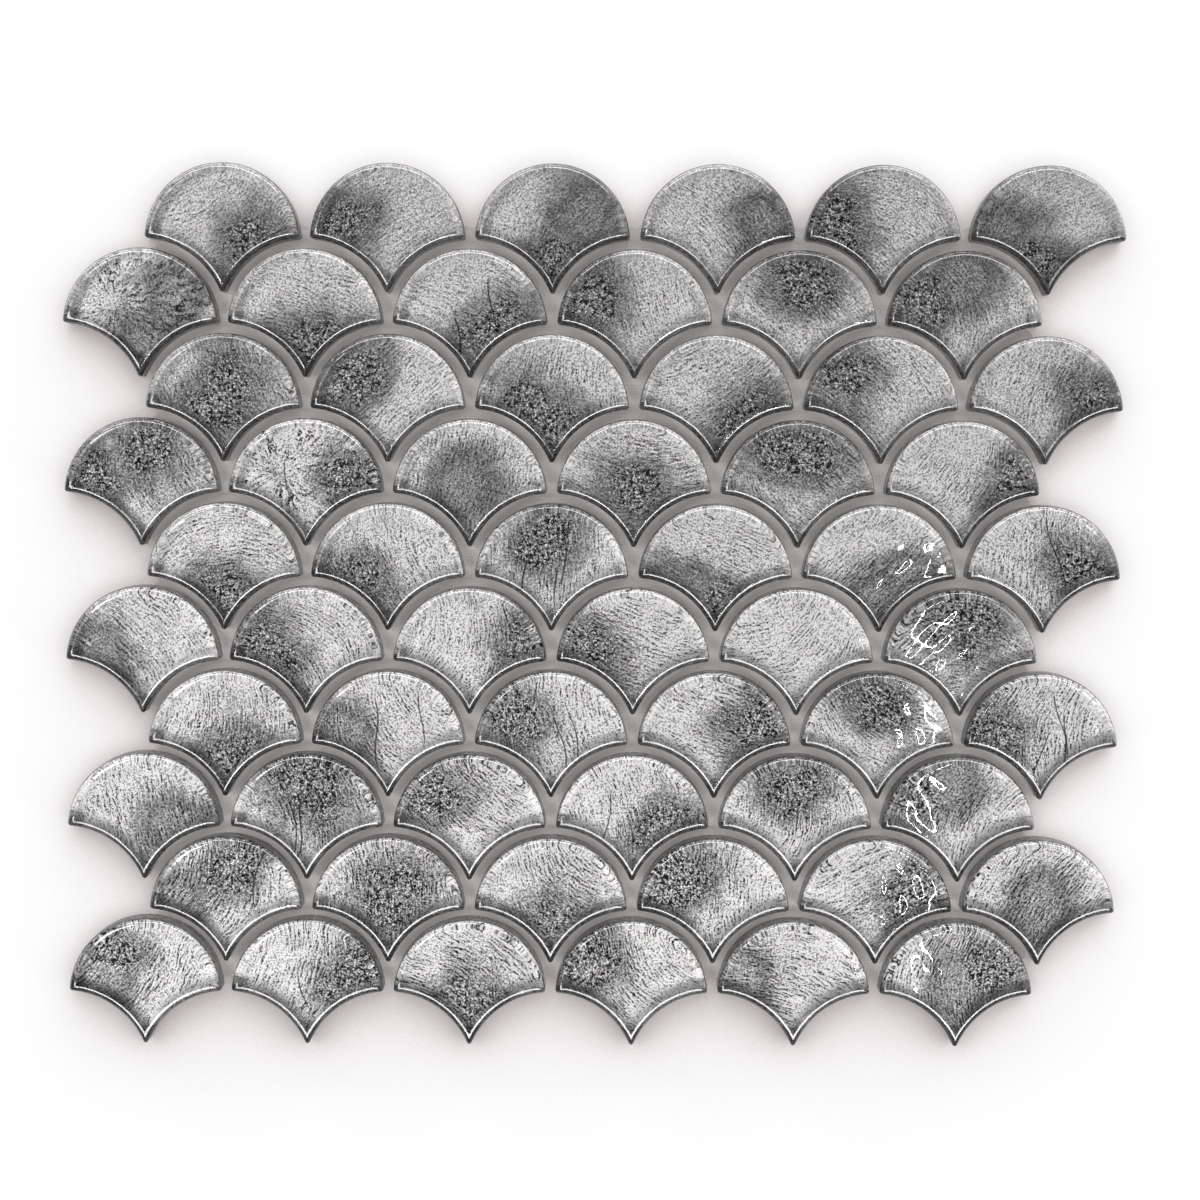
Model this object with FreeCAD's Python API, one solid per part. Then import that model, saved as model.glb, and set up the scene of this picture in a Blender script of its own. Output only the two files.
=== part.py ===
# Mosaic sheet of fish scale tiles: staggered rows of foil-backed glass scales, glued by their backs to a thin
# glass-fibre cloth that keeps the grout joints open. The sheet lies face up, with the points towards -Y.
# The origin is at the middle of the sheet's footprint, on the cloth's underside.
import FreeCAD
import Part
import math
import os

# Driving dimensions, in millimetres
scale_width = 43.2  # across a scale's round head
scale_thickness = 8.0
edge_bevel = 1.3  # eased edge round the top of the glass
point_trim = 1.2  # taken off the sharp meeting of the flanks, so the point is blunt
joint_width = 2.8  # open joint beside and above each head
row_pitch = 23.6
scales_per_row = 6
row_count = 10
cloth_thickness = 0.4
cloth_margin = 7.0  # how far the cloth stays inside the outer heads
cloth_rise = 4.0  # how far above a row's head centres the cloth passes between the scales
cloth_tail_reach = 5.0  # how far below the last row's head centres the cloth runs

PARTS_FOLDER = "parts"
SAME_HEIGHT = 1e-6

# Sizes that follow from the driving dimensions
head_radius = scale_width / 2
flank_radius = head_radius + joint_width  # a flank runs round the head below it, one joint away
column_pitch = scale_width + joint_width
point_depth = row_pitch - math.sqrt(flank_radius**2 - (column_pitch / 2)**2)  # where the flanks meet
sheet_height = (row_count - 1) * row_pitch + head_radius + point_depth - point_trim
top_row_y = sheet_height / 2 - head_radius


def head_centre(row, column):
    """Where a scale's head is centred. Rows alternate by half a pitch, and the first one lies right."""
    shift = 0.25 if row % 2 == 0 else -0.25
    x = (column - (scales_per_row - 1) / 2 + shift) * column_pitch
    return FreeCAD.Vector(x, top_row_y - row * row_pitch, 0)


def mirrored(point):
    return FreeCAD.Vector(-point.x, point.y, 0)


def right_corner(below):
    """Where the head's circle meets the flank's circle, which is centred on the head below."""
    reach = below.Length
    along = (reach**2 + head_radius**2 - flank_radius**2) / (2 * reach)
    aside = math.sqrt(head_radius**2 - along**2)
    towards = below / reach
    return towards * along + FreeCAD.Vector(-towards.y, towards.x, 0) * aside


def scale_outline():
    """Wire of one scale with its head centred on the origin: a half-round head and two hollow flanks."""
    below = FreeCAD.Vector(column_pitch / 2, -row_pitch, 0)
    corner = right_corner(below)
    hollow = below - below * (flank_radius / below.Length)
    crown = FreeCAD.Vector(0, head_radius, 0)
    point = FreeCAD.Vector(0, -point_depth, 0)
    head = Part.Arc(mirrored(corner), crown, corner).toShape()
    right_flank = Part.Arc(corner, hollow, point).toShape()
    left_flank = Part.Arc(point, mirrored(hollow), mirrored(corner)).toShape()
    return Part.Wire([head, right_flank, left_flank])


def glass_scale():
    """One scale standing on the cloth: an upright slab with its top edge bevelled and its point blunted."""
    slab = Part.Face(scale_outline()).extrude(FreeCAD.Vector(0, 0, scale_thickness))
    top_edges = [e for e in slab.Edges if e.BoundBox.ZMin > scale_thickness - SAME_HEIGHT]
    bevelled = slab.makeChamfer(edge_bevel, top_edges)
    beyond_point = FreeCAD.Vector(-head_radius, -point_depth, 0)
    trimming = Part.makeBox(scale_width, point_trim, scale_thickness, beyond_point)
    scale = bevelled.cut(trimming)
    scale.translate(FreeCAD.Vector(0, 0, cloth_thickness))
    return scale


def scale_row(pattern, row):
    """The scales of one row, side by side with open joints between them."""
    scales = []
    for column in range(scales_per_row):
        scale = pattern.copy()
        scale.translate(head_centre(row, column))
        scales.append(scale)
    return Part.makeCompound(scales)


def zigzag(row, at_heads, at_joints):
    """Cloth edge along a row, left to right: its height over the head centres, at the heads and between."""
    points = []
    for column in range(scales_per_row):
        centre = head_centre(row, column)
        points.append(centre + FreeCAD.Vector(0, at_heads, 0))
        if column < scales_per_row - 1:
            points.append(centre + FreeCAD.Vector(column_pitch / 2, at_joints, 0))
    return points


def backing_cloth():
    """Cloth cut in straight lines that stay behind the outer scales, stepping in and out with the rows."""
    reach = FreeCAD.Vector(head_radius - cloth_margin, 0, 0)
    rise = FreeCAD.Vector(0, cloth_rise, 0)
    last_row = row_count - 1
    top_edge = zigzag(0, head_radius - cloth_margin, cloth_rise)
    bottom_edge = zigzag(last_row, -cloth_tail_reach, cloth_rise)
    right_edge = [head_centre(row, scales_per_row - 1) + reach + rise for row in range(row_count)]
    left_edge = [head_centre(row, 0) - reach + rise for row in range(row_count)]
    outline = top_edge + right_edge + bottom_edge[::-1] + left_edge[::-1]
    sheet = Part.Face(Part.makePolygon(outline + outline[:1]))
    return sheet.extrude(FreeCAD.Vector(0, 0, cloth_thickness))


def main():
    os.makedirs(PARTS_FOLDER, exist_ok=True)
    pattern = glass_scale()
    for row in range(row_count):
        scale_row(pattern, row).exportStep(f"{PARTS_FOLDER}/scale_row_{row + 1:02d}.step")
    backing_cloth().exportStep(f"{PARTS_FOLDER}/backing_cloth.step")


main()
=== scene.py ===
# Looks of the fish scale mosaic sheet: clear glass scales over crumpled silver leaf, on a woven cloth.
# Lengths are written in millimetres and turned into metres where meshes, lamps and textures are made.
import bpy
import math
import numpy as np
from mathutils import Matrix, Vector, noise


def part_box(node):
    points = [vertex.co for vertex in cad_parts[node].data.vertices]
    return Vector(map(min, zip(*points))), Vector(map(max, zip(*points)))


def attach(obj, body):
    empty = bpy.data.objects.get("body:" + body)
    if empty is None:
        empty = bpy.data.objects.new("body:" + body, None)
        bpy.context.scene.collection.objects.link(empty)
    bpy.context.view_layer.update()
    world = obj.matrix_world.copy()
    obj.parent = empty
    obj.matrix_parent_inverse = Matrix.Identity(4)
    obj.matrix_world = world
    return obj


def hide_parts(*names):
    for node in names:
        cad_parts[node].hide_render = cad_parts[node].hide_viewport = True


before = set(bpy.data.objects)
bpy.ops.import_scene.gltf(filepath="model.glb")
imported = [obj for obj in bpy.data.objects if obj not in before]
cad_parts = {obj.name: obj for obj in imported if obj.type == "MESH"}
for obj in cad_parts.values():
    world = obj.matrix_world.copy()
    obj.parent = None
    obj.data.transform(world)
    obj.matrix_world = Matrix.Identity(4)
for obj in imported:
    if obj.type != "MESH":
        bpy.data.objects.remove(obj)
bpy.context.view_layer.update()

MM = 0.001

# The scale's outline, as in the solids, round the centre of its head
SCALE_WIDTH = 43.2
JOINT_WIDTH = 2.8
ROW_PITCH = 23.6
SCALES_PER_ROW = 6
ROW_COUNT = 10
HEAD_RADIUS = SCALE_WIDTH / 2
FLANK_RADIUS = HEAD_RADIUS + JOINT_WIDTH
COLUMN_PITCH = SCALE_WIDTH + JOINT_WIDTH
FLANK_CENTRE = np.array([COLUMN_PITCH / 2, -ROW_PITCH])
MIDDLE = np.array([0.0, 4.0])

# Rounding of the glass
CORNER_RADIUS = 0.9
POINT_RADIUS = 0.73
HEAD_SHOULDER = 2.1
FLANK_SHOULDER = 1.8
FOOT_BEVEL = 0.25
LEAST_RADIUS = 0.05

# Heights inside a scale, over the cloth, and the unevenness of its two faces
GLASS_LIFT = 0.06
FOIL_LIFT = 0.01
FOIL_THICKNESS = 0.22
FOIL_MARGIN = 0.35
FOIL_RELIEF = 0.06
FOIL_CREASE = 4.5
WAVE_DEPTH = 0.04
WAVE_LENGTH = 8.0
WAVE_SETTLE = 3
RIPPLE_COUNT = 5
RIPPLE_PACES = (0.7, 1.6)
RIPPLE_FADE = 0.5

# Mesh steps round a scale and up its edge, and how many of them are blended, glossy or ground
HEAD_STEPS = 26
CORNER_STEPS = 4
FLANK_STEPS = 18
POINT_STEPS = 3
SHOULDER_STEPS = 8
SHOULDER_BLEND = 6
CROWN_STEPS = 15
GROUND_HEAD_STEPS = 3
GROUND_FLANK_STEPS = 6
GLASS_RINGS = 20
FOIL_RINGS = 32

# Material slots of the glass and of the leaf
CLEAR, SHADED_GROUND_HEAD, POLISHED, SHADED_GROUND_FLANK = range(4)
LEAF, BACK_COAT = range(2)

# Tarnish of the leaf, scale by scale from the top left, as places on a compass round the scale's middle.
# Capitals are speckled, small letters only smoky, + is a wide patch, | stands for cracks, * for a sunburst
# of wrinkles and . for a clean scale.
TARNISH = (
    "SE W S/ne e W+ w/S",
    "ne/s/* S+ SE/| NW N NW/n",
    "C+ NW SW/S SE NW/w E",
    "N/W E/*/| c C N+ E",
    "S SW N/| S/sw se/s E/|",
    "w W+ E W . N+",
    "S+ w/| NW/| E+ N W/|",
    "se N+/| NW SE/| N NW/n",
    "N/w/| C+ S+ NW+ E+ c",
    "NW/w E+/| S+ NW w NE/c",
)
COMPASS = {
    "N": (0, 12), "NE": (10, 9), "E": (14, 3), "SE": (8, -1), "S": (0, -6),
    "SW": (-8, -1), "W": (-14, 3), "NW": (-10, 9), "C": (0, 3),
}
LEAF_SEED = 1000
SEED_STEP = 7.3
PATCH_RADIUS = 12.5
WIDE_PATCH = 1.3
PATCH_STRETCH = (0.8, 1.3)
PATCH_SHIFT = (-1.5, 1.5)
SMOKY_SPECKLE = 0.25
STROKE_LENGTH = 3.4
STROKE_WIDTH = 0.75
STROKE_BOW = 0.03
SUNBURST_CENTRE = np.array([-8.0, 6.0])
SUNBURST_RAYS = 8.0
SUNBURST_RELIEF = 1.7
SUNBURST_GLOW = 0.3
SUNBURST_GLOW_RADIUS = 3.0

# Tone and crispness of the leaf in the top row, and the painted light that makes them brighter and crisper
# down to the bottom row
TONE_SPREAD = (0.95, 1.05)
TONE_TOP = 0.82
PAINTED_LIGHT_GAIN = 0.32
CRISP_TOP = 0.4
PAINTED_CONTRAST_GAIN = 0.6

# Cracks in the leaf: ranges of their places, and shade from their core to their rim
CRACK_COUNT = 3
CRACK_STARTS = (-9, 9)
CRACK_LEANS = (-0.3, 0.3)
CRACK_LOW_ENDS = (-10, 2)
CRACK_LENGTHS = (8, 18)
CRACK_SWAY_LENGTH = 4
CRACK_SWAY_PHASES = (0, 6)
CRACK_FADE = 2.0
CRACK_CORE = 0.1
CRACK_RIM = 0.35
CRACK_SHADE = 0.15
FAR_AWAY = 20.0

# Glass: clear, with a glossier inner edge and ground sides, whose dark colours are painted shade, darkest
# along the flanks
NOISE_SPAN = (0.3, 0.7)
GLASS_TINT = (0.97, 0.98, 0.975, 1)
GLASS_IOR = 1.5
RIM_COAT_IOR = 2.2
# Dark colours of the ground sides: painted shade, darker along the flanks than over the crown
GROUND_HEAD_SHADE_COLOURS = (0.15, 0.155, 0.155), (0.3, 0.305, 0.305)
GROUND_FLANK_SHADE_COLOURS = (0.04, 0.04, 0.041), (0.13, 0.13, 0.132)
GROUND_ROUGHNESS = (0.15, 0.35)
GROUND_CLARITY = 0.65
SCRATCH_SIZE = 1.5

# Wrinkles of the leaf, in units of their length and width, and how they come and go; their lit and shaded
# sides are painted light and shade
SWAY_SIZE = 4.5
SWAY = (0.3, 2.2, 0.0)
BESIDE = (0.0, 0.4, 0.0)
SLOPE_SPAN = (-0.17, 0.17)
SLOPE_RANGE = (-0.5, 0.5)
WRINKLED_SIZE = 7
WRINKLED_SPAN = (0.36, 0.6)
WRINKLED_LEAST = 0.2

# Smoke and grains of the leaf: sizes of noises, and spans of smoke in which things change
DRIFT_SIZE = 9
DRIFT = 0.9
RAGGED_SIZE = 2.5
RAGGED = 0.3
HAZE_RIM = (0.12, 1.14)
HAZE_CORE = (0.85, 1.35)
HAZE_DEPTHS = (0.8, 0.62)
SPECKLE_RIM = (0.7, 1.2)
BLACK_SIZE = 0.95
BLACK_BARS = (0.8, 0.505)
BLACK_EDGE = 0.05
PALE_SIZE = 0.5
PALE_SPAN = (0.54, 0.66)
PALE_GAIN = 0.5

# Shade, roughness and relief of the leaf, which is calmer close to its edge; the relief in its colour is
# painted light and shade of its wrinkles and crinkles
CALM_ZONE = (2.0, 3.4)
CALM_LEAST = 0.65
CRINKLE_SIZE = 0.5
CRINKLE_SHADING_GAIN = 0.44
CRINKLE_SHADING_CRISP_GAIN = 0.28
WRINKLE_SHADING_GAIN = 1.6
LEAF_SHADE = 0.86
LEAF_COLOURS = (0.012, 0.012, 0.014), (0.97, 0.94, 0.94)
SETTLE_ZONE = (2.6, 4.0)
SETTLED_LEAST = 0.75
LEAF_ROUGHNESS = (0.44, 0.46)
STROKE_BUMP = 0.8
LEAF_BUMP = 0.08

# Coat on the back of the leaf
BLOTCH_SIZE = 6
COAT_COLOURS = (0.20, 0.20, 0.21), (0.40, 0.40, 0.41)
COAT_ROUGHNESS = (0.45, 0.7)
PIT_SIZE = 1.5
COAT_BUMP = 0.1

# Backing cloth
YARN = 0.9
GLUE_SIZE = 9
WEAVE_SHARE = 0.35
GLUE_SHARE = 0.65
CLOTH_COLOURS = (0.88, 0.83, 0.805), (0.97, 0.92, 0.895)
CLOTH_ROUGHNESS = (0.6, 0.9)
CLOTH_BUMP = 0.08

# Floor, half its side in metres, and the soft shadow close to the sheet
FLOOR_HALF = 12.0
FLOOR_TONE = (0.1, 0.1, 0.1, 1)
FLOOR_ROUGHNESS = 0.9
FLOOR_GLOW = 0.92
HALO_RAYS = 4
HALO_REACH = 46.0
HALO_LEAN = (0.12, 0.5, 0.86)
HALO_DARK = 0.32
HALO_CLEAR = 0.96
HALO_FLOOR = 0.3
HALO_COLOURS = (1.0, 0.8, 0.79), (1.0, 1.0, 1.0)

# World, lamps with their places, aims, sizes and brightness, and camera
WORLD_COLOUR = (0.97, 0.98, 1.0, 1)
WORLD_STRENGTH = 0.08
LAMPS = {
    "front_panel": ((0, -975, 1759), (0, 0, 0), (2600, 600), 5.0),
    "left_panel": ((-1050, 150, 1720), (0, 0, 0), (1200, 800), 4.2),
    "right_panel": ((1050, 150, 1720), (0, 0, 0), (1200, 800), 1.7),
    "back_strip": ((0, 1381, 967), (0, 0, 0), (2600, 320), 3.6),
    "side_strip": ((185, -137, 700), (185, -137, 0), (3, 240), 45.0),
}
CAMERA_HEIGHT = 700.0
CAMERA_SHIFT = (-2.14, -2.15)
CAMERA_TURN = (3.84, -0.12, -0.25)
CAMERA_LENS = 74.0
SENSOR_WIDTH = 36.0


def circle_meeting(centre, radius_a, radius_b):
    """Upper right crossing of a circle round the origin with one round the given centre."""
    reach = np.hypot(*centre)
    along = (reach**2 + radius_a**2 - radius_b**2) / (2 * reach)
    aside = math.sqrt(max(radius_a**2 - along**2, 0.0))
    towards = centre / reach
    return towards * along + np.array([-towards[1], towards[0]]) * aside


def arc(centre, radius, start, end, steps):
    """Points on an arc from start to end, without the last one."""
    first = math.atan2(*(start - centre)[::-1])
    last = math.atan2(*(end - centre)[::-1])
    turn = (last - first + math.pi) % (2 * math.pi) - math.pi
    angles = first + turn * np.arange(steps) / steps
    return centre + radius * np.stack([np.cos(angles), np.sin(angles)], 1)


def outline(inset):
    """Scale's outline at an inset, clockwise from the crown, with rounded corners and point."""
    origin = np.zeros(2)
    below = FLANK_CENTRE
    head = HEAD_RADIUS - inset
    flank = FLANK_RADIUS + inset
    corner = max(CORNER_RADIUS - inset, LEAST_RADIUS)
    point = max(POINT_RADIUS - inset, LEAST_RADIUS)
    corner_centre = circle_meeting(below, head - corner, flank + corner)
    head_end = corner_centre * head / (head - corner)
    flank_start = below + (corner_centre - below) * flank / (flank + corner)
    point_centre = np.array([0.0, below[1] + math.sqrt((flank + point)**2 - below[0]**2)])
    flank_end = below + (point_centre - below) * flank / (flank + point)
    crown = np.array([0.0, head])
    foot = point_centre - np.array([0.0, point])
    right = np.concatenate([
        arc(origin, head, crown, head_end, HEAD_STEPS),
        arc(corner_centre, corner, head_end, flank_start, CORNER_STEPS),
        arc(below, flank, flank_start, flank_end, FLANK_STEPS),
        arc(point_centre, point, flank_end, foot, POINT_STEPS),
        foot[None],
    ])
    left = right[1:-1][::-1] * np.array([-1.0, 1.0])
    return np.concatenate([right, left])


def towards_middle(ring, share):
    """Ring drawn in to a share of its size round the scale's middle."""
    return MIDDLE + (ring - MIDDLE) * share


def turned(plan, angle):
    """Distances of points along and across a direction."""
    along = plan[:, 0] * math.cos(angle) + plan[:, 1] * math.sin(angle)
    across = plan[:, 1] * math.cos(angle) - plan[:, 0] * math.sin(angle)
    return along, across


class Loft:
    """Closed meshes of rings: each starts with a bottom, goes up its sides and ends in one point on top."""

    def __init__(self):
        self.points = []
        self.faces = []
        self.flat = []
        self.slots = []

    def start(self, ring_size):
        self.base = len(self.points)
        self.size = ring_size
        self.rings = 0

    def ring(self, plan, heights, slot=0):
        """Adds a ring and the faces down to the ring before it, in one slot or in one slot for each face."""
        self.points.extend(zip(plan[:, 0], plan[:, 1], np.broadcast_to(heights, len(plan))))
        self.rings += 1
        if self.rings == 1:
            return
        high = self.base + (self.rings - 1) * self.size
        low = high - self.size
        for i in range(self.size):
            j = (i + 1) % self.size
            self.add((low + j, low + i, high + i, high + j), slot if np.isscalar(slot) else slot[i])

    def close(self, place, height, bottom_slot=0):
        """Ends the last ring in a point and shuts the first one with a flat face."""
        low = self.base + (self.rings - 1) * self.size
        self.points.append((*place, height))
        top = len(self.points) - 1
        for i in range(self.size):
            self.add((low + (i + 1) % self.size, low + i, top), 0)
        self.add(tuple(self.base + i for i in range(self.size)), bottom_slot, flat=True)

    def add(self, face, slot, flat=False):
        self.faces.append(face)
        self.slots.append(slot)
        self.flat.append(flat)


def build_piece(name, loft, materials):
    mesh = bpy.data.meshes.new(name)
    mesh.from_pydata([tuple(c * MM for c in p) for p in loft.points], [], loft.faces)
    mesh.polygons.foreach_set("use_smooth", [not f for f in loft.flat])
    mesh.polygons.foreach_set("material_index", loft.slots)
    mesh.update()
    for material in materials:
        mesh.materials.append(material)
    piece = bpy.data.objects.new(name, mesh)
    bpy.context.scene.collection.objects.link(piece)
    return piece


def ripples(plan, seed):
    """Sum of sine waves that run in random directions, squeezed into -1 to 1."""
    rng = np.random.default_rng(seed)
    total = np.zeros(len(plan))
    for index in range(RIPPLE_COUNT):
        angle, phase = rng.uniform(0, 2 * math.pi, 2)
        pace = rng.uniform(*RIPPLE_PACES) * 2 * math.pi / WAVE_LENGTH
        along, _ = turned(plan, angle)
        total += np.sin(pace * along + phase) / (1 + RIPPLE_FADE * index)
    return np.tanh(total)


def wave(plan, seed):
    """Gentle unevenness of the fire-polished top, from 0 down to -WAVE_DEPTH."""
    return -WAVE_DEPTH * (0.5 + 0.5 * ripples(plan, seed))


def creases(plan, seed):
    """Uneven height of the leaf, about -0.5 to 0.5."""
    return np.array([noise.noise(Vector((x, y, SEED_STEP * seed))) for x, y in plan / FOIL_CREASE])


def shoulder_shares():
    """For each point of an outline, how far its rounded top edge is that of a flank, from 0 to 1."""
    steps = np.arange(HEAD_STEPS + CORNER_STEPS + FLANK_STEPS + POINT_STEPS + 1)
    right = np.clip((steps - HEAD_STEPS + SHOULDER_BLEND) / (SHOULDER_BLEND + CORNER_STEPS), 0.0, 1.0)
    return np.concatenate([right, right[1:-1][::-1]])


def shoulder_ring(turn):
    """Plan and drop of the rounded top edge at a turn from its wall (0) to the flat top (a right angle)."""
    shares = shoulder_shares()
    head = outline(HEAD_SHOULDER * (1 - math.cos(turn)))
    flank = outline(FLANK_SHOULDER * (1 - math.cos(turn)))
    plan = head + (flank - head) * shares[:, None]
    drop = (HEAD_SHOULDER + (FLANK_SHOULDER - HEAD_SHOULDER) * shares) * (1 - math.sin(turn))
    return plan, drop


def edge_slots(step):
    """Material slots round the glass at a step of its shoulder: ground and painted dark as shade below,
    polished above.

    The ground part with its painted shade runs further up along the flanks, where the painted shade is
    darkest, and the inner part is glossiest there and over the crown.
    """
    shares = shoulder_shares()
    along = np.arange(len(shares))
    flank = shares > 0.5
    crown = np.minimum(along, len(shares) - along) < CROWN_STEPS
    glossy = (step > SHOULDER_STEPS / 2) & (crown | flank)
    slots = np.where(glossy, POLISHED, CLEAR)
    slots[~flank & (step <= GROUND_HEAD_STEPS)] = SHADED_GROUND_HEAD
    slots[flank & (step <= GROUND_FLANK_STEPS)] = SHADED_GROUND_FLANK
    return slots.tolist()


def add_glass(loft, place, base, top, seed):
    """One scale's glass: bevelled foot, wall, rounded shoulder and a wavy top that is level at its rim."""
    edge, _ = shoulder_ring(math.pi / 2)
    loft.start(len(edge))
    loft.ring(outline(FOOT_BEVEL) + place, base)
    loft.ring(outline(0.0) + place, base + FOOT_BEVEL, edge_slots(0))
    for step in range(SHOULDER_STEPS + 1):
        plan, drop = shoulder_ring(math.pi / 2 * step / SHOULDER_STEPS)
        loft.ring(plan + place, top - drop, edge_slots(step))
    for step in range(1, GLASS_RINGS):
        plan = towards_middle(edge, 1 - step / GLASS_RINGS)
        settle = min(1.0, WAVE_SETTLE * step / GLASS_RINGS)
        loft.ring(plan + place, top + settle * wave(plan, seed), CLEAR)
    loft.close(MIDDLE + place, top + wave(MIDDLE[None], seed)[0], CLEAR)


def add_foil(loft, place, base, seed):
    """One scale's leaf, creased on top, with the coat on its sides and back."""
    edge = outline(FOIL_MARGIN)
    top = base + FOIL_THICKNESS
    loft.start(len(edge))
    loft.ring(edge + place, base)
    loft.ring(edge + place, top, BACK_COAT)
    for step in range(1, FOIL_RINGS):
        plan = towards_middle(edge, 1 - step / FOIL_RINGS)
        loft.ring(plan + place, top + FOIL_RELIEF * (0.5 + creases(plan, seed)), LEAF)
    loft.close(MIDDLE + place, top + FOIL_RELIEF * 0.5, BACK_COAT)


def edge_distance(plan):
    """Distance of each point from the scale's outline."""
    head = HEAD_RADIUS - np.hypot(plan[:, 0], plan[:, 1])
    flank = np.hypot(np.abs(plan[:, 0]) - FLANK_CENTRE[0], plan[:, 1] - FLANK_CENTRE[1]) - FLANK_RADIUS
    return np.minimum(head, flank)


def patch(plan, place, radius, rng):
    """Height of an oval patch: 1 in its middle, 0 at its rim, below 0 outside."""
    turn = rng.uniform(0, math.pi)
    stretch = rng.uniform(*PATCH_STRETCH)
    away = plan - np.array(place) - rng.uniform(*PATCH_SHIFT, 2)
    along, across = turned(away, turn)
    return 1 - np.hypot(along / stretch, across * stretch) / radius


def tarnish(plan, marks, rng):
    """Smoke and speckle of the leaf at each point, from the marks of its scale."""
    smoke = np.full(len(plan), -1.0)
    speckle = np.zeros(len(plan))
    for mark in marks:
        name = mark.rstrip("+")
        if name.upper() not in COMPASS:
            continue
        radius = PATCH_RADIUS * (WIDE_PATCH if mark.endswith("+") else 1.0)
        here = patch(plan, COMPASS[name.upper()], radius, rng)
        amount = 1.0 if name.isupper() else SMOKY_SPECKLE
        speckle = np.where(here > smoke, amount, speckle)
        smoke = np.maximum(smoke, here)
    return smoke, speckle


def grain(plan, marks, rng, seed):
    """Coordinates that run along and across the wrinkles, one unit for a wrinkle's length and width."""
    if "*" in marks:
        away = plan - SUNBURST_CENTRE
        reach = np.hypot(away[:, 0], away[:, 1])
        rays = SUNBURST_RAYS * away / np.maximum(reach, LEAST_RADIUS)[:, None]
        return np.column_stack([rays, reach / STROKE_LENGTH + SEED_STEP * seed])
    turn = rng.uniform(0, math.pi)
    bow = rng.uniform(-STROKE_BOW, STROKE_BOW)
    along, across = turned(plan, turn)
    bowed = across + bow * along**2
    layer = np.full(len(plan), SEED_STEP * seed)
    return np.column_stack([along / STROKE_LENGTH, bowed / STROKE_WIDTH, layer])


def cracks(plan, marks, rng):
    """Distances from up to three thin cracks that run up and down the leaf, and grow beyond their ends."""
    apart = np.full((len(plan), CRACK_COUNT), FAR_AWAY)
    x, y = plan[:, 0], plan[:, 1]
    if "|" in marks:
        for index in range(rng.integers(1, CRACK_COUNT + 1)):
            start = rng.uniform(*CRACK_STARTS)
            lean = rng.uniform(*CRACK_LEANS)
            low = rng.uniform(*CRACK_LOW_ENDS)
            high = low + rng.uniform(*CRACK_LENGTHS)
            sway = np.sin(y / CRACK_SWAY_LENGTH + rng.uniform(*CRACK_SWAY_PHASES))
            beyond = np.maximum(low - y, 0) + np.maximum(y - high, 0)
            apart[:, index] = (x - start - lean * y - sway) * (1 + CRACK_FADE * beyond)
    return apart


def leaf_fields(plan, marks, row, seed):
    """Everything about the leaf that differs from scale to scale, at each point of its mesh."""
    rng = np.random.default_rng(LEAF_SEED + seed)
    smoke, speckle = tarnish(plan, marks, rng)
    depth = row / (ROW_COUNT - 1)
    # Painted light: the leaf grows brighter, and its painted wrinkle shading crisper, from the top row to
    # the bottom row
    tone_and_light = np.full(len(plan), rng.uniform(*TONE_SPREAD) * (TONE_TOP + PAINTED_LIGHT_GAIN * depth))
    crispness = np.full(len(plan), CRISP_TOP + PAINTED_CONTRAST_GAIN * depth)
    if "*" in marks:
        away = plan - SUNBURST_CENTRE
        tone_and_light += SUNBURST_GLOW * np.exp(-(away**2).sum(1) / SUNBURST_GLOW_RADIUS**2)
        crispness *= SUNBURST_RELIEF
    return {
        "smoke": smoke,
        "edge": edge_distance(plan),
        "leaf": np.column_stack([tone_and_light, crispness, speckle]),
        "grain": grain(plan, marks, rng, seed),
        "crack": cracks(plan, marks, rng),
    }


def store_fields(mesh, fields):
    """Keeps the fields of a row's scales as attributes of its mesh, for the leaf's material."""
    for name in fields[0]:
        values = np.concatenate([f[name] for f in fields])
        kind, key = ("FLOAT", "value") if values.ndim == 1 else ("FLOAT_VECTOR", "vector")
        mesh.attributes.new(name, kind, "POINT").data.foreach_set(key, values.astype(np.float32).ravel())


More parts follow.
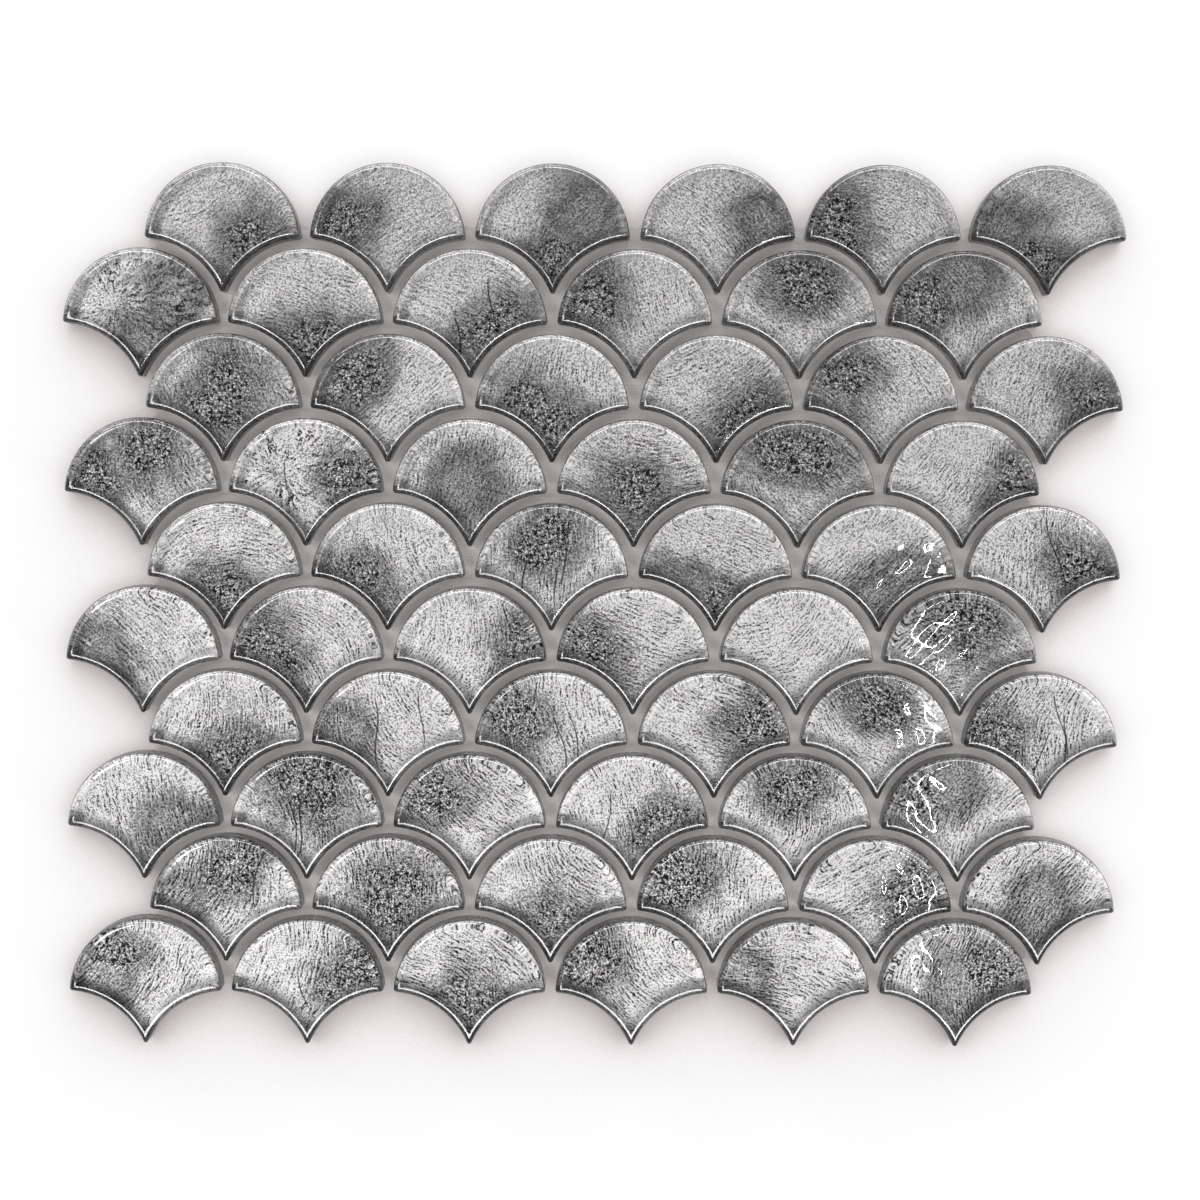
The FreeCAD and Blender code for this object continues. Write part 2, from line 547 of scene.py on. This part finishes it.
class Graph:
    """Node tree of one material, with short calls for the nodes that are used most."""

    def __init__(self, name):
        self.material = bpy.data.materials.new(name)
        self.material.use_nodes = True
        self.tree = self.material.node_tree
        self.shader = self.tree.nodes["Principled BSDF"]

    def node(self, kind, **settings):
        node = self.tree.nodes.new(kind)
        for key, value in settings.items():
            setattr(node, key, value)
        return node

    def feed(self, socket, value):
        if isinstance(value, bpy.types.NodeSocket):
            self.tree.links.new(value, socket)
        else:
            socket.default_value = value

    def set(self, name, value):
        self.feed(self.shader.inputs[name], value)

    def math(self, operation, first, second=0.0):
        node = self.node("ShaderNodeMath", operation=operation)
        self.feed(node.inputs[0], first)
        self.feed(node.inputs[1], second)
        return node.outputs[0]

    def plus(self, first, second):
        return self.math("ADD", first, second)

    def less(self, first, second):
        return self.math("SUBTRACT", first, second)

    def times(self, first, second):
        return self.math("MULTIPLY", first, second)

    def vector(self, operation, *values):
        node = self.node("ShaderNodeVectorMath", operation=operation)
        for socket, value in zip(node.inputs, values):
            self.feed(socket, value)
        return node.outputs[0]

    def noise(self, place, size, detail=2.0, roughness=0.5, output="Fac"):
        """Noise from 0 to 1 with features about one size across."""
        node = self.node("ShaderNodeTexNoise")
        self.feed(node.inputs["Vector"], place)
        node.inputs["Scale"].default_value = 1 / size
        node.inputs["Detail"].default_value = detail
        node.inputs["Roughness"].default_value = roughness
        return node.outputs[output]

    def step(self, value, low, high, start=0.0, end=1.0):
        """Smooth step from start to end as the value goes from low to high."""
        node = self.node("ShaderNodeMapRange", interpolation_type="SMOOTHSTEP")
        self.feed(node.inputs["Value"], value)
        for name, bound in (("From Min", low), ("From Max", high), ("To Min", start), ("To Max", end)):
            self.feed(node.inputs[name], bound)
        return node.outputs["Result"]

    def attribute(self, name, output):
        return self.node("ShaderNodeAttribute", attribute_name=name).outputs[output]

    def split(self, vector):
        node = self.node("ShaderNodeSeparateXYZ")
        self.feed(node.inputs[0], vector)
        return node.outputs

    def object_place(self):
        return self.node("ShaderNodeTexCoord").outputs["Object"]

    def colour(self, factor, dark, light):
        node = self.node("ShaderNodeMix", data_type="RGBA")
        self.feed(node.inputs["Factor"], factor)
        self.feed(node.inputs["A"], (*dark, 1))
        self.feed(node.inputs["B"], (*light, 1))
        return node.outputs["Result"]

    def bump(self, height, depth, strength=1.0):
        node = self.node("ShaderNodeBump")
        self.feed(node.inputs["Strength"], strength)
        self.feed(node.inputs["Height"], height)
        node.inputs["Distance"].default_value = depth * MM
        self.set("Normal", node.outputs["Normal"])


def glass_graph(name):
    """Clear fire-polished glass."""
    graph = Graph(name)
    graph.set("Base Color", GLASS_TINT)
    graph.set("Roughness", 0.0)
    graph.set("IOR", GLASS_IOR)
    graph.set("Transmission Weight", 1.0)
    return graph


def rim_material():
    """Inner part of the rounded edge along the flanks and over the crown: the same glass, glossier."""
    graph = glass_graph("polished_rim")
    graph.set("Coat Weight", 1.0)
    graph.set("Coat IOR", RIM_COAT_IOR)
    graph.set("Coat Roughness", 0.0)
    return graph.material


def shaded_edge_material(name, dark, light):
    """Ground sides of the glass, which run up onto the rounded edge and let less light through; their dark
    colour is painted shade.
    """
    graph = Graph(name)
    scratch = graph.noise(graph.object_place(), SCRATCH_SIZE * MM, detail=3.0)
    graph.set("Base Color", graph.colour(scratch, dark, light))
    graph.set("Roughness", graph.step(scratch, *NOISE_SPAN, *GROUND_ROUGHNESS))
    graph.set("IOR", GLASS_IOR)
    graph.set("Transmission Weight", GROUND_CLARITY)
    return graph.material


def wrinkles(graph, place):
    """Lit and shaded sides of long thin wrinkles that come and go over the leaf, from -0.5 to 0.5: painted
    light and shade in the colour, and part of the bump.
    """
    sway = graph.noise(place, SWAY_SIZE * MM, output="Color")
    bent = graph.vector("MULTIPLY_ADD", sway, SWAY, graph.attribute("grain", "Vector"))
    here = graph.noise(bent, 1.0, detail=2.5, roughness=0.6)
    there = graph.noise(graph.vector("ADD", bent, BESIDE), 1.0, detail=2.5, roughness=0.6)
    slope = graph.step(graph.less(here, there), *SLOPE_SPAN, *SLOPE_RANGE)
    wrinkled = graph.noise(place, WRINKLED_SIZE * MM, detail=1.0)
    return graph.times(slope, graph.step(wrinkled, *WRINKLED_SPAN, WRINKLED_LEAST, 1.0))


def smoke_field(graph, place):
    """Smoke of the leaf's patches, with rims that drift and fray."""
    drift = graph.times(graph.noise(place, DRIFT_SIZE * MM), DRIFT)
    ragged = graph.times(graph.noise(place, RAGGED_SIZE * MM), RAGGED)
    return graph.plus(graph.attribute("smoke", "Fac"), graph.plus(drift, ragged))


def haze_field(graph, smoke):
    """How much the smoke darkens the leaf: most in a ring inside its rim."""
    core = graph.step(smoke, *HAZE_CORE)
    return graph.times(graph.step(smoke, *HAZE_RIM), graph.step(core, 0.0, 1.0, *HAZE_DEPTHS))


def grain_fields(graph, place, smoke, speckle):
    """Black and pale grains of the speckled patches."""
    spread = graph.times(graph.step(smoke, *SPECKLE_RIM), speckle)
    grains = graph.noise(place, BLACK_SIZE * MM, detail=3.0, roughness=0.75)
    bar = graph.step(spread, 0.0, 1.0, *BLACK_BARS)
    black = graph.step(graph.less(grains, bar), 0.0, BLACK_EDGE)
    flecks = graph.noise(place, PALE_SIZE * MM, detail=1.0, roughness=0.6)
    pale = graph.times(graph.step(flecks, *PALE_SPAN, 0.0, PALE_GAIN), spread)
    return black, pale


def painted_relief_shading(graph, stroke, crinkle, crispness):
    """Painted light and shade of the leaf's wrinkles and of its fine crinkles, about 0."""
    wrinkle_shading = graph.times(graph.times(stroke, WRINKLE_SHADING_GAIN), crispness)
    crinkle_shading = graph.plus(CRINKLE_SHADING_GAIN, graph.times(crispness, CRINKLE_SHADING_CRISP_GAIN))
    return graph.plus(wrinkle_shading, graph.times(graph.step(crinkle, *NOISE_SPAN, -1.0, 1.0), crinkle_shading))


def foil_material():
    """Crumpled silver leaf with smoky and speckled patches and cracks, calmer close to its edge, with
    painted light and shade on its wrinkles and painted light that grows down the rows.
    """
    graph = Graph("silver_leaf")
    place = graph.object_place()
    tone_and_light, crispness, speckle = graph.split(graph.attribute("leaf", "Vector"))
    edge = graph.attribute("edge", "Fac")
    calm = graph.step(edge, *CALM_ZONE, CALM_LEAST, 1.0)
    stroke = wrinkles(graph, place)
    crinkle = graph.noise(place, CRINKLE_SIZE * MM, roughness=0.6)
    smoke = smoke_field(graph, place)
    black, pale = grain_fields(graph, place, smoke, graph.times(speckle, calm))

    # Painted light and shade: the lit and shaded sides of the wrinkles and crinkles, put into the leaf's
    # colour
    painted_relief_shade = painted_relief_shading(graph, stroke, crinkle, crispness)
    shade = graph.times(graph.plus(LEAF_SHADE, graph.times(painted_relief_shade, calm)), tone_and_light)
    shade = graph.times(shade, graph.less(1.0, haze_field(graph, smoke)))
    shade = graph.times(graph.plus(shade, pale), graph.less(1.0, black))
    for apart in graph.split(graph.attribute("crack", "Vector")):
        beside = graph.math("ABSOLUTE", apart)
        shade = graph.times(shade, graph.step(beside, CRACK_CORE, CRACK_RIM, CRACK_SHADE, 1.0))

    graph.set("Base Color", graph.colour(shade, *LEAF_COLOURS))
    graph.set("Metallic", 1.0)
    graph.set("Roughness", graph.step(edge, *SETTLE_ZONE, *LEAF_ROUGHNESS))
    settled = graph.step(edge, *SETTLE_ZONE, SETTLED_LEAST, 1.0)
    graph.bump(graph.plus(graph.times(stroke, STROKE_BUMP), crinkle), LEAF_BUMP, settled)
    return graph.material


def coat_material():
    """Blotchy grey coat on the sides and the back of the leaf."""
    graph = Graph("back_coat")
    place = graph.object_place()
    blotch = graph.noise(place, BLOTCH_SIZE * MM, detail=4.0)
    graph.set("Base Color", graph.colour(blotch, *COAT_COLOURS))
    graph.set("Roughness", graph.step(blotch, *NOISE_SPAN, *COAT_ROUGHNESS))
    graph.bump(graph.noise(place, PIT_SIZE * MM, detail=3.0), COAT_BUMP)
    return graph.material


def cloth_material():
    """Plain weave: yarns go over and under each other in turn, stiff with glue."""
    graph = Graph("glass_cloth")
    place = graph.object_place()
    x, y, _ = graph.split(place)
    warp, weft = (graph.math("ABSOLUTE", graph.math("SINE", graph.times(side, math.pi / (YARN * MM))))
                  for side in (x, y))
    over = graph.node("ShaderNodeTexChecker")
    graph.feed(over.inputs["Vector"], place)
    over.inputs["Scale"].default_value = 1 / (YARN * MM)
    weave = graph.node("ShaderNodeMix", data_type="FLOAT")
    graph.feed(weave.inputs["Factor"], over.outputs["Fac"])
    graph.feed(weave.inputs["A"], warp)
    graph.feed(weave.inputs["B"], weft)
    height = weave.outputs["Result"]
    glue = graph.noise(place, GLUE_SIZE * MM, detail=4.0)
    mottle = graph.plus(graph.times(height, WEAVE_SHARE), graph.times(glue, GLUE_SHARE))
    graph.set("Base Color", graph.colour(mottle, *CLOTH_COLOURS))
    graph.set("Roughness", graph.step(glue, *NOISE_SPAN, *CLOTH_ROUGHNESS))
    graph.bump(height, CLOTH_BUMP)
    return graph.material


def row_places(node):
    """Head centres of a row's scales, from the box of its node."""
    low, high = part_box(node)
    middle = (low[0] + high[0]) / 2 / MM
    head_y = high[1] / MM - HEAD_RADIUS
    left = middle - COLUMN_PITCH * (SCALES_PER_ROW - 1) / 2
    return [np.array([left + column * COLUMN_PITCH, head_y]) for column in range(SCALES_PER_ROW)]


def dress_row(row, glass_slots, leaf_slots):
    """Glass and leaf of one row, in place of its node."""
    node = f"scale_row_{row + 1:02d}"
    low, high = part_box(node)
    glass_loft, foil_loft = Loft(), Loft()
    fields = []
    for column, place in enumerate(row_places(node)):
        seed = row * SCALES_PER_ROW + column
        add_glass(glass_loft, place, low[2] / MM + GLASS_LIFT, high[2] / MM, seed)
        add_foil(foil_loft, place, low[2] / MM + FOIL_LIFT, seed)
        plan = np.array(foil_loft.points[foil_loft.base:])[:, :2] - place
        fields.append(leaf_fields(plan, TARNISH[row].split()[column].split("/"), row, seed))
    glass_piece = build_piece(f"glass_row_{row + 1:02d}", glass_loft, glass_slots)
    foil_piece = build_piece(f"foil_row_{row + 1:02d}", foil_loft, leaf_slots)
    store_fields(foil_piece.data, fields)
    for piece in (glass_piece, foil_piece):
        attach(piece, "root")
        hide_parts(node)


def floor_material():
    """White floor: part of its light is its own where seen, dimmed close to the sheet, and part is lit."""
    graph = Graph("floor")
    graph.set("Base Color", FLOOR_TONE)
    graph.set("Roughness", FLOOR_ROUGHNESS)
    graph.set("Specular IOR Level", 0.0)
    rays = graph.node("ShaderNodeLightPath")
    seen = graph.math("MAXIMUM", rays.outputs["Is Camera Ray"], rays.outputs["Is Glossy Ray"])
    seen = graph.math("MAXIMUM", seen, rays.outputs["Is Transmission Ray"])
    halo = graph.node("ShaderNodeAmbientOcclusion")
    halo.samples = HALO_RAYS
    halo.inputs["Distance"].default_value = HALO_REACH * MM
    lean = graph.node("ShaderNodeCombineXYZ")
    for socket, share in zip(lean.inputs, HALO_LEAN):
        socket.default_value = share
    graph.feed(halo.inputs["Normal"], lean.outputs[0])
    glow = graph.step(halo.outputs["AO"], HALO_DARK, HALO_CLEAR, HALO_FLOOR, 1.0)
    graph.set("Emission Color", graph.colour(glow, *HALO_COLOURS))
    graph.set("Emission Strength", graph.times(seen, graph.times(glow, FLOOR_GLOW)))
    return graph.material


def add_floor():
    mesh = bpy.data.meshes.new("floor")
    corners = [(-FLOOR_HALF, -FLOOR_HALF, 0), (FLOOR_HALF, -FLOOR_HALF, 0),
               (FLOOR_HALF, FLOOR_HALF, 0), (-FLOOR_HALF, FLOOR_HALF, 0)]
    mesh.from_pydata(corners, [], [(0, 1, 2, 3)])
    floor = bpy.data.objects.new("floor", mesh)
    bpy.context.scene.collection.objects.link(floor)
    mesh.materials.append(floor_material())


def add_lamp(name, place, aim, size, brightness):
    """Soft panel of the given size, aimed at a point; its brightness is that of its face."""
    lamp = bpy.data.lights.new(name, "AREA")
    lamp.shape = "RECTANGLE"
    lamp.size, lamp.size_y = (side * MM for side in size)
    lamp.energy = brightness * math.pi * lamp.size * lamp.size_y
    holder = bpy.data.objects.new(name, lamp)
    holder.location = Vector(place) * MM
    holder.rotation_euler = (Vector(aim) - Vector(place)).to_track_quat("-Z", "Y").to_euler()
    bpy.context.scene.collection.objects.link(holder)


def add_lights():
    world = bpy.data.worlds.new("studio")
    bpy.context.scene.world = world
    world.use_nodes = True
    background = world.node_tree.nodes["Background"]
    background.inputs["Color"].default_value = WORLD_COLOUR
    background.inputs["Strength"].default_value = WORLD_STRENGTH
    for name, settings in LAMPS.items():
        add_lamp(name, *settings)


def add_camera():
    data = bpy.data.cameras.new("camera")
    data.sensor_width = SENSOR_WIDTH
    data.lens = CAMERA_LENS
    camera = bpy.data.objects.new("camera", data)
    camera.rotation_mode = "ZYX"
    camera.rotation_euler = [-math.radians(a) for a in CAMERA_TURN]
    offset = Vector((-CAMERA_SHIFT[0], -CAMERA_SHIFT[1], CAMERA_HEIGHT)) * MM
    camera.location = camera.rotation_euler.to_matrix() @ offset
    bpy.context.scene.collection.objects.link(camera)
    bpy.context.scene.camera = camera


def main():
    # Ground sides of the glass, painted dark as shade: dark over the crown, darker along the flanks
    shaded_ground_head = shaded_edge_material("shaded_ground_edge", *GROUND_HEAD_SHADE_COLOURS)
    shaded_ground_flank = shaded_edge_material("shaded_ground_flank", *GROUND_FLANK_SHADE_COLOURS)
    glass_slots = [glass_graph("clear_glass").material, shaded_ground_head, rim_material(), shaded_ground_flank]
    leaf_slots = [foil_material(), coat_material()]
    for row in range(ROW_COUNT):
        dress_row(row, glass_slots, leaf_slots)
    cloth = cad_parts["backing_cloth"]
    cloth.data.materials.clear()
    cloth.data.materials.append(cloth_material())
    add_floor()
    add_lights()
    add_camera()
    bpy.context.scene.view_settings.view_transform = "Standard"


main()
